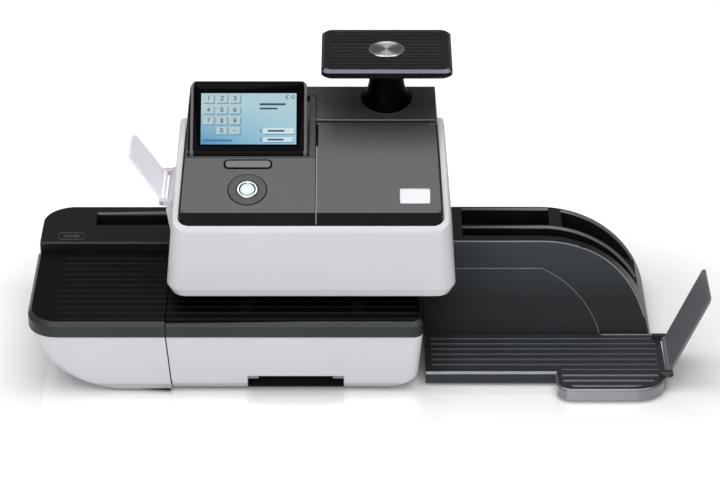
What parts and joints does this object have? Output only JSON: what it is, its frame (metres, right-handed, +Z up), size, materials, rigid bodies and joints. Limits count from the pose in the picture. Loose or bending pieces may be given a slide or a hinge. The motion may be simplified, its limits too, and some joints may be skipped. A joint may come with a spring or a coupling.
{
  "type": "postage meter",
  "caption": "Desk postage meter with sloped panel and tilting touch display, weighing platform on a neck, feed deck and catch tray with stop flap.",
  "frame": {"origin": "middle of the bounding box on the table plane", "axes": "+X along the way mail travels, from feed end to catch tray; +Y to the back; +Z up"},
  "size_m": [0.672, 0.26, 0.285],
  "materials": {
    "white_abs": "fine textured off-white moulding",
    "dark_cover": "satin charcoal moulding",
    "black_abs": "satin black moulding",
    "smoke_plastic": "dark grey polished sheet",
    "black_glass": "polished black",
    "screen": "lit pale blue screen",
    "lens": "white lit lens in a bright ring",
    "steel": "turned and pressed steel",
    "aluminium": "bare milled",
    "rubber": "matt black",
    "brass": "plain bush",
    "motor_case": "grey enamel",
    "circuit": "green board",
    "ink_case": "black moulding"
  },
  "bodies": {
    "machine": {"feed_shell": "white_abs", "base_shell": "white_abs", "head_shell": "white_abs", "label_bracket": "white_abs", "control_panel": "dark_cover", "rear_cover": "dark_cover", "feed_deck": "black_abs", "base_deck": "black_abs", "feed_guide_block": "black_abs", "tray_block": "black_abs", "tray_floor": "black_abs", "chute_panel": "black_abs", "rear_housing": "black_abs", "display_bay": "black_abs", "recess_liner": "black_abs", "power_inlet": "black_abs", "scale_neck": "black_abs", "base_pan": "black_abs", "head_base": "black_abs", "print_unit": "black_abs", "pan_screws": "steel", "roller_frame": "steel", "display_hinge_shaft": "steel", "ink_hinge_pin": "steel", "flap_pin": "steel", "label_pin": "steel", "load_cell": "aluminium", "power_supply": "aluminium", "rubber_feet": "rubber", "drive_belt": "rubber", "shaft_bushes": "brass", "feed_motor": "motor_case", "main_board": "circuit", "key_board": "circuit", "ink_cartridge": "ink_case"},
    "display": {"display_housing": "dark_cover", "display_glass": "black_glass", "display_lcd": "screen"},
    "start_key": {"start_button": "dark_cover", "start_lens": "lens"},
    "release_key": {"display_release_key": "dark_cover"},
    "ink_flap": {"ink_cover": "dark_cover"},
    "platform": {"weigh_platform": "black_abs", "platform_disc": "steel", "platform_stem": "steel"},
    "drive_shaft": {"drive_roller": "steel", "drive_tyres": "rubber"},
    "exit_shaft": {"exit_roller": "steel", "exit_tyres": "rubber"},
    "motor_shaft": {"motor_pulley": "steel"},
    "carrier": {"pressure_carrier": "steel"},
    "press_in": {"pressure_roller_in": "rubber"},
    "press_out": {"pressure_roller_out": "rubber"},
    "flap": {"stop_flap": "smoke_plastic"},
    "label_leaf": {"label_tray": "white_abs"}
  },
  "joints": [
    {"name": "display_tilt", "type": "hinge", "parent": "machine", "child": "display", "pos_m": [-0.11875, 0.01292, 0.20282], "axis": [1, 0, 0], "range_deg": [-20, 22]},
    {"name": "start_press", "type": "slide", "parent": "machine", "child": "start_key", "axis": [0, 0.3987, -0.9171], "range_m": [0, 0.002], "stiffness_N_per_m": 400, "springref_m": -0.002},
    {"name": "release_press", "type": "slide", "parent": "machine", "child": "release_key", "axis": [0, 0.3987, -0.9171], "range_m": [0, 0.002], "stiffness_N_per_m": 400, "springref_m": -0.002},
    {"name": "ink_cover_lift", "type": "hinge", "parent": "machine", "child": "ink_flap", "pos_m": [0.01, 0.04523, 0.21752], "axis": [-1, 0, 0], "range_deg": [0, 75]},
    {"name": "platform_sink", "type": "slide", "parent": "machine", "child": "platform", "axis": [0, 0, -1], "range_m": [0, 0.0008], "stiffness_N_per_m": 20000, "springref_m": -0.0003},
    {"name": "drive_spin", "type": "hinge", "parent": "machine", "child": "drive_shaft", "pos_m": [-0.12, 0, 0.066], "axis": [0, 1, 0], "continuous": true},
    {"name": "exit_spin", "type": "hinge", "parent": "machine", "child": "exit_shaft", "pos_m": [-0.01, 0, 0.066], "axis": [0, 1, 0], "continuous": true},
    {"name": "motor_spin", "type": "hinge", "parent": "machine", "child": "motor_shaft", "pos_m": [-0.065, 0, 0.034], "axis": [0, 1, 0], "continuous": true},
    {"name": "carrier_lift", "type": "slide", "parent": "machine", "child": "carrier", "axis": [0, 0, 1], "range_m": [0, 0.005], "stiffness_N_per_m": 1500, "springref_m": -0.003},
    {"name": "press_in_spin", "type": "hinge", "parent": "carrier", "child": "press_in", "pos_m": [-0.12, 0, 0.0871], "axis": [0, 1, 0], "continuous": true},
    {"name": "press_out_spin", "type": "hinge", "parent": "carrier", "child": "press_out", "pos_m": [-0.01, 0, 0.0871], "axis": [0, 1, 0], "continuous": true},
    {"name": "stop_flap_fold", "type": "hinge", "parent": "machine", "child": "flap", "pos_m": [0.29897, -0.069, 0.01775], "axis": [0, 1, 0], "range_deg": [-110, 0]},
    {"name": "label_tray_fold", "type": "hinge", "parent": "machine", "child": "label_leaf", "pos_m": [-0.204, 0.011, 0.166], "axis": [0, 1, 0], "range_deg": [0, 30]}
  ],
  "couplings": [
    {"joint": "exit_spin", "follows": "drive_spin", "ratio": 1},
    {"joint": "motor_spin", "follows": "drive_spin", "ratio": 1},
    {"joint": "press_in_spin", "follows": "drive_spin", "ratio": -1.575},
    {"joint": "press_out_spin", "follows": "drive_spin", "ratio": -1.575}
  ]
}
